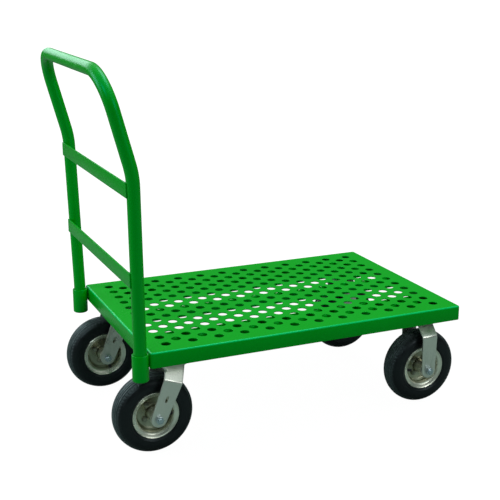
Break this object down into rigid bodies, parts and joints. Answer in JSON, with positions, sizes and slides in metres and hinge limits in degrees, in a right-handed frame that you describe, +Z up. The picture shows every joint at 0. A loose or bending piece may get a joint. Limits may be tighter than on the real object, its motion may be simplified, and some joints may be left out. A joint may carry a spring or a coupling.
{
  "type": "platform trolley",
  "caption": "Nursery platform trolley: perforated steel deck, lift-out push handle, swivel casters at the handle end, rigid casters at the other, air-filled tyres.",
  "frame": {"origin": "on the floor, below the middle of the overall box", "axes": "+X away from the push handle, +Y to the pusher's left, +Z up"},
  "size_m": [1.0524, 0.6308, 1.0037],
  "materials": {
    "deck_green": "gloss powder coat",
    "tube_green": "gloss powder coat",
    "fork_zinc": "zinc plated, dull",
    "fastener_zinc": "bright zinc plated",
    "rim_zinc": "yellow zinc plated, satin",
    "tyre_rubber": "moulded, slightly glossy",
    "tube_rubber": "matt",
    "bearing_steel": "ground",
    "sleeve_steel": "turned",
    "nipple_brass": "nickel flashed"
  },
  "bodies": {
    "deck_frame": {"deck_pan": "deck_green", "left_side_rail": "deck_green", "right_side_rail": "deck_green", "centre_stiffener": "deck_green", "caster_mount_pads": "deck_green", "left_handle_socket": "tube_green", "right_handle_socket": "tube_green", "socket_end_plugs": "tube_green", "caster_plate_bolts": "fastener_zinc", "caster_plate_washers": "fastener_zinc", "caster_plate_nuts": "fastener_zinc", "left_swivel_top_plate": "fork_zinc", "right_swivel_top_plate": "fork_zinc", "kingpin_bolts": "fastener_zinc", "kingpin_nuts": "fastener_zinc", "left_rigid_fork": "fork_zinc", "right_rigid_fork": "fork_zinc", "rigid_axle_bolts": "fastener_zinc", "rigid_axle_nuts": "fastener_zinc", "rigid_axle_sleeves": "sleeve_steel"},
    "push_handle": {"handle_tube": "tube_green", "upper_brace": "tube_green", "lower_brace": "tube_green"},
    "left_swivel_caster": {"left_swivel_fork": "fork_zinc", "left_swivel_balls": "bearing_steel", "left_grease_nipple": "nipple_brass", "left_swivel_axle_bolt": "fastener_zinc", "left_swivel_axle_nut": "fastener_zinc", "left_swivel_axle_sleeve": "sleeve_steel"},
    "right_swivel_caster": {"right_swivel_fork": "fork_zinc", "right_swivel_balls": "bearing_steel", "right_grease_nipple": "nipple_brass", "right_swivel_axle_bolt": "fastener_zinc", "right_swivel_axle_nut": "fastener_zinc", "right_swivel_axle_sleeve": "sleeve_steel"},
    "left_swivel_wheel": {"left_swivel_tyre": "tyre_rubber", "left_swivel_inner_tube": "tube_rubber", "left_swivel_rim_left_half": "rim_zinc", "left_swivel_rim_right_half": "rim_zinc", "left_swivel_wheel_bearings": "bearing_steel", "left_swivel_rim_bolts": "fastener_zinc"},
    "right_swivel_wheel": {"right_swivel_tyre": "tyre_rubber", "right_swivel_inner_tube": "tube_rubber", "right_swivel_rim_left_half": "rim_zinc", "right_swivel_rim_right_half": "rim_zinc", "right_swivel_wheel_bearings": "bearing_steel", "right_swivel_rim_bolts": "fastener_zinc"},
    "left_rigid_wheel": {"left_rigid_tyre": "tyre_rubber", "left_rigid_inner_tube": "tube_rubber", "left_rigid_rim_left_half": "rim_zinc", "left_rigid_rim_right_half": "rim_zinc", "left_rigid_wheel_bearings": "bearing_steel", "left_rigid_rim_bolts": "fastener_zinc"},
    "right_rigid_wheel": {"right_rigid_tyre": "tyre_rubber", "right_rigid_inner_tube": "tube_rubber", "right_rigid_rim_left_half": "rim_zinc", "right_rigid_rim_right_half": "rim_zinc", "right_rigid_wheel_bearings": "bearing_steel", "right_rigid_rim_bolts": "fastener_zinc"}
  },
  "joints": [
    {"name": "handle_lift", "type": "slide", "parent": "deck_frame", "child": "push_handle", "axis": [0, 0, 1], "range_m": [0, 0.075]},
    {"name": "left_caster_swivel", "type": "hinge", "parent": "deck_frame", "child": "left_swivel_caster", "pos_m": [-0.33433, 0.23, 0.2375], "axis": [0, 0, 1], "continuous": true},
    {"name": "right_caster_swivel", "type": "hinge", "parent": "deck_frame", "child": "right_swivel_caster", "pos_m": [-0.33433, -0.23, 0.2375], "axis": [0, 0, 1], "continuous": true},
    {"name": "left_swivel_wheel_spin", "type": "hinge", "parent": "left_swivel_caster", "child": "left_swivel_wheel", "pos_m": [-0.38833, 0.23, 0.1075], "axis": [0, 1, 0], "continuous": true},
    {"name": "right_swivel_wheel_spin", "type": "hinge", "parent": "right_swivel_caster", "child": "right_swivel_wheel", "pos_m": [-0.38833, -0.23, 0.1075], "axis": [0, 1, 0], "continuous": true},
    {"name": "left_rigid_wheel_spin", "type": "hinge", "parent": "deck_frame", "child": "left_rigid_wheel", "pos_m": [0.41867, 0.23, 0.1075], "axis": [0, 1, 0], "continuous": true},
    {"name": "right_rigid_wheel_spin", "type": "hinge", "parent": "deck_frame", "child": "right_rigid_wheel", "pos_m": [0.41867, -0.23, 0.1075], "axis": [0, 1, 0], "continuous": true}
  ]
}
